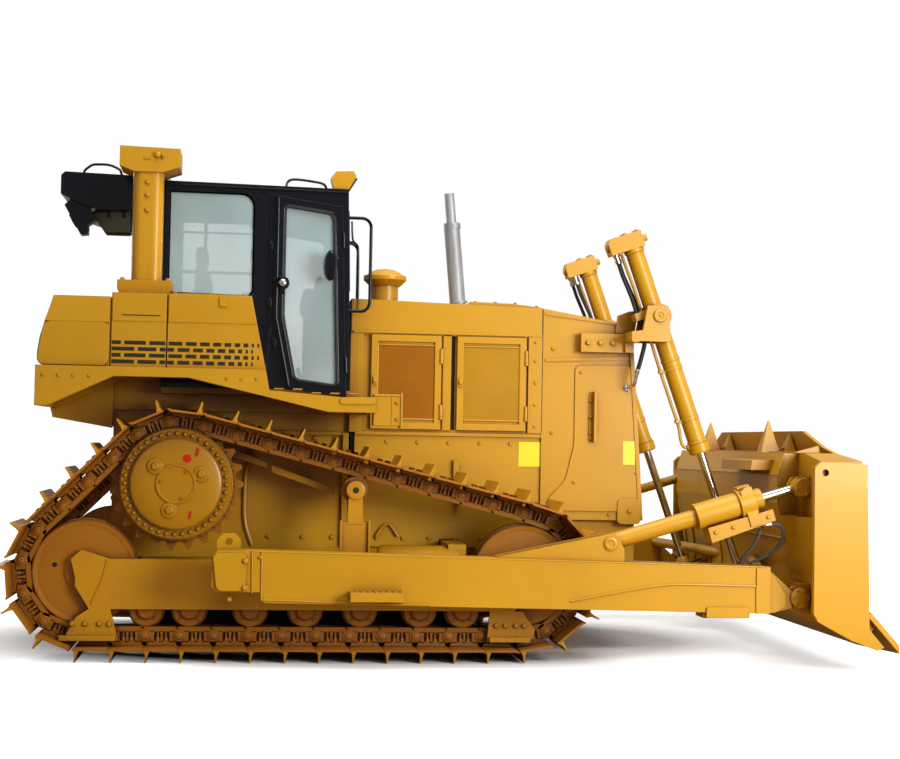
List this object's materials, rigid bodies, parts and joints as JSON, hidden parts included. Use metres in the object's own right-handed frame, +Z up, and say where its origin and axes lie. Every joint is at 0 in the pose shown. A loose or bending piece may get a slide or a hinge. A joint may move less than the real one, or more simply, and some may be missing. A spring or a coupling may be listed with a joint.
{
  "type": "crawler bulldozer",
  "caption": "Crawler bulldozer with raised drive sprockets, closed cab, tall safety frame and a straight blade with angled ends on outboard push arms.",
  "frame": {"origin": "on the ground, midway between the rear lug tips and the blade tips, on the centre plane", "axes": "+X forwards to the blade, +Y to the machine's left, +Z up"},
  "size_m": [5.6851, 3.5, 3.308],
  "materials": {
    "yellow_paint": "semi-gloss",
    "track_paint": "satin",
    "black_paint": "gloss",
    "glass": "gloss",
    "chrome": "polished",
    "grey_paint": "satin",
    "seat_cloth": "matte",
    "plastic": "matte",
    "edge_steel": "satin",
    "rubber": "matte",
    "core_metal": "matte"
  },
  "bodies": {
    "machine": {"cab_floor": "black_paint", "cab_front": "black_paint", "cab_glass": "glass", "cab_rear": "black_paint", "cab_roof": "black_paint", "cab_sides": "black_paint", "console": "plastic", "drawbar": "yellow_paint", "engine_bay_sides": "yellow_paint", "engine_block": "core_metal", "equalizer_bar": "yellow_paint", "exhaust_stack": "grey_paint", "fenders": "yellow_paint", "final_drives": "track_paint", "firewall": "yellow_paint", "fuel_tank": "yellow_paint", "grab_rails": "black_paint", "hood": "yellow_paint", "idlers": "track_paint", "lift_yokes": "yellow_paint", "main_frame": "yellow_paint", "platform": "yellow_paint", "precleaner": "yellow_paint", "radiator_core": "core_metal", "radiator_grille": "yellow_paint", "radiator_guard": "yellow_paint", "rear_lamp": "black_paint", "rollers": "track_paint", "roof_box": "black_paint", "rops": "yellow_paint", "seat": "seat_cloth", "service_boxes": "yellow_paint", "track_frames": "track_paint", "track_left": "track_paint", "track_right": "track_paint", "work_lamps": "yellow_paint"},
    "dozer": {"blade": "yellow_paint", "cutting_edge": "edge_steel", "diagonal_braces": "yellow_paint", "push_arms": "yellow_paint", "tilt_brace": "yellow_paint", "tilt_cylinder": "yellow_paint"},
    "lift_barrel_left": {"lift_barrel_left": "yellow_paint", "lift_hoses_left": "rubber"},
    "lift_rod_left": {"lift_rod_left": "chrome"},
    "cab_door_left": {"cab_door_left": "black_paint", "door_glass_left": "glass"},
    "engine_door_rear_left": {"engine_door_rear_left": "yellow_paint"},
    "engine_door_front_left": {"engine_door_front_left": "yellow_paint"},
    "lift_barrel_right": {"lift_barrel_right": "yellow_paint", "lift_hoses_right": "rubber"},
    "lift_rod_right": {"lift_rod_right": "chrome"},
    "cab_door_right": {"cab_door_right": "black_paint", "door_glass_right": "glass"},
    "engine_door_rear_right": {"engine_door_rear_right": "yellow_paint"},
    "engine_door_front_right": {"engine_door_front_right": "yellow_paint"}
  },
  "joints": [
    {"name": "blade_lift", "type": "hinge", "parent": "machine", "child": "dozer", "pos_m": [-1.352, 0, 0.563], "axis": [0, -1, 0], "range_deg": [-8.5, 14.5]},
    {"name": "lift_swing_left", "type": "hinge", "parent": "machine", "child": "lift_barrel_left", "pos_m": [1.484, 0.77, 2.306], "axis": [0, -1, 0], "range_deg": [-5.9, 9.99]},
    {"name": "lift_stroke_left", "type": "slide", "parent": "lift_barrel_left", "child": "lift_rod_left", "axis": [0.333, 0, -0.9429], "range_m": [-0.8285, 0.4861]},
    {"name": "lift_swing_right", "type": "hinge", "parent": "machine", "child": "lift_barrel_right", "pos_m": [1.484, -0.77, 2.306], "axis": [0, -1, 0], "range_deg": [-5.9, 9.99]},
    {"name": "lift_stroke_right", "type": "slide", "parent": "lift_barrel_right", "child": "lift_rod_right", "axis": [0.333, 0, -0.9429], "range_m": [-0.8285, 0.4861]},
    {"name": "cab_door_left", "type": "hinge", "parent": "machine", "child": "cab_door_left", "pos_m": [-0.634, 0.79, 1.715], "axis": [0.0361, 0, -0.9993], "range_deg": [0, 95]},
    {"name": "engine_door_rear_left", "type": "hinge", "parent": "machine", "child": "engine_door_rear_left", "pos_m": [0.024, 0.613, 1.8], "axis": [0, 0, -1], "range_deg": [0, 110]},
    {"name": "engine_door_front_left", "type": "hinge", "parent": "machine", "child": "engine_door_front_left", "pos_m": [0.614, 0.613, 1.8], "axis": [0, 0, -1], "range_deg": [0, 110]},
    {"name": "cab_door_right", "type": "hinge", "parent": "machine", "child": "cab_door_right", "pos_m": [-0.634, -0.79, 1.715], "axis": [-0.0361, 0, 0.9993], "range_deg": [0, 95]},
    {"name": "engine_door_rear_right", "type": "hinge", "parent": "machine", "child": "engine_door_rear_right", "pos_m": [0.024, -0.613, 1.8], "axis": [0, 0, 1], "range_deg": [0, 110]},
    {"name": "engine_door_front_right", "type": "hinge", "parent": "machine", "child": "engine_door_front_right", "pos_m": [0.614, -0.613, 1.8], "axis": [0, 0, 1], "range_deg": [0, 110]}
  ],
  "couplings": [
    {"joint": "lift_swing_left", "follows": "blade_lift", "ratio": 0.682},
    {"joint": "lift_stroke_left", "follows": "blade_lift", "m_per_rad": -3.27},
    {"joint": "lift_swing_right", "follows": "blade_lift", "ratio": 0.682},
    {"joint": "lift_stroke_right", "follows": "blade_lift", "m_per_rad": -3.27}
  ]
}
